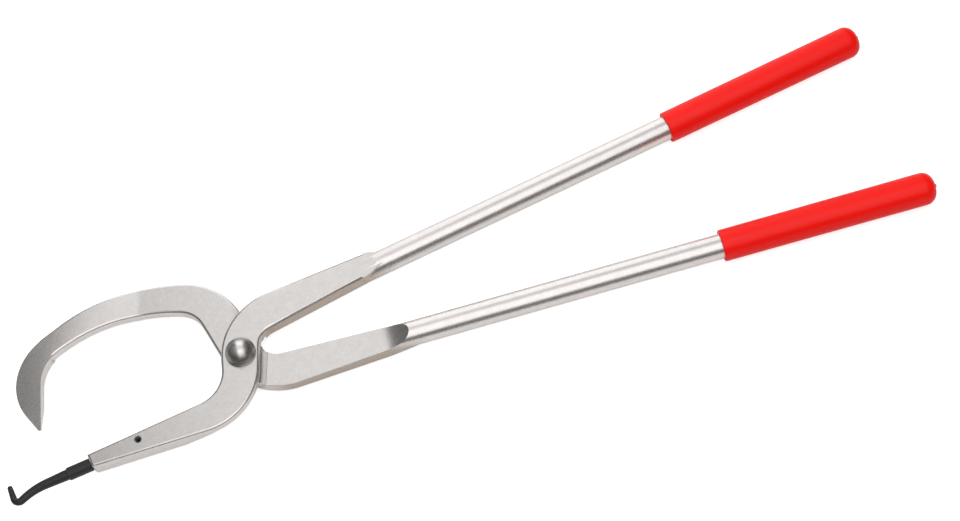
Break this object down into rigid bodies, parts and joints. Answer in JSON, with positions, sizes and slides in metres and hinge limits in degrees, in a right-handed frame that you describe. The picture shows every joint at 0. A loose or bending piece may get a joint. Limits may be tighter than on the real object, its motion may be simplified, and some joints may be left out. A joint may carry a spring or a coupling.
{
  "type": "brake spring pliers",
  "caption": "Long two-handed pliers for drum brake springs: a flat forged claw and a jaw arm with a pinned steel hook cross at a rivet, on round bars with dipped grips.",
  "frame": {"origin": "on the pivot's axis, at the flat back face of the rear half", "axes": "+Z along the pivot from the back face to the rivet's domed head; +X midway between the two handle bars towards the grips, so the jaws point along -X; +Y from the jaw arm towards the claw"},
  "size_m": [0.5698, 0.1317, 0.0244],
  "materials": {
    "forged_steel": "bead-blasted, nickel-plated satin",
    "rivet_steel": "polished gunmetal",
    "blackened_steel": "satin black oxide",
    "red_dip": "smooth dipped vinyl, soft gloss"
  },
  "bodies": {
    "rear": {"rear_half": "forged_steel", "pivot_rivet": "rivet_steel", "rear_grip": "red_dip"},
    "front": {"front_half": "forged_steel", "hook": "blackened_steel", "hook_pin": "blackened_steel", "front_grip": "red_dip"}
  },
  "joints": [
    {"name": "jaw_pivot", "type": "hinge", "parent": "rear", "child": "front", "pos_m": [0, 0, 0], "axis": [0, 0, 1], "range_deg": [-10.8, 14]}
  ]
}
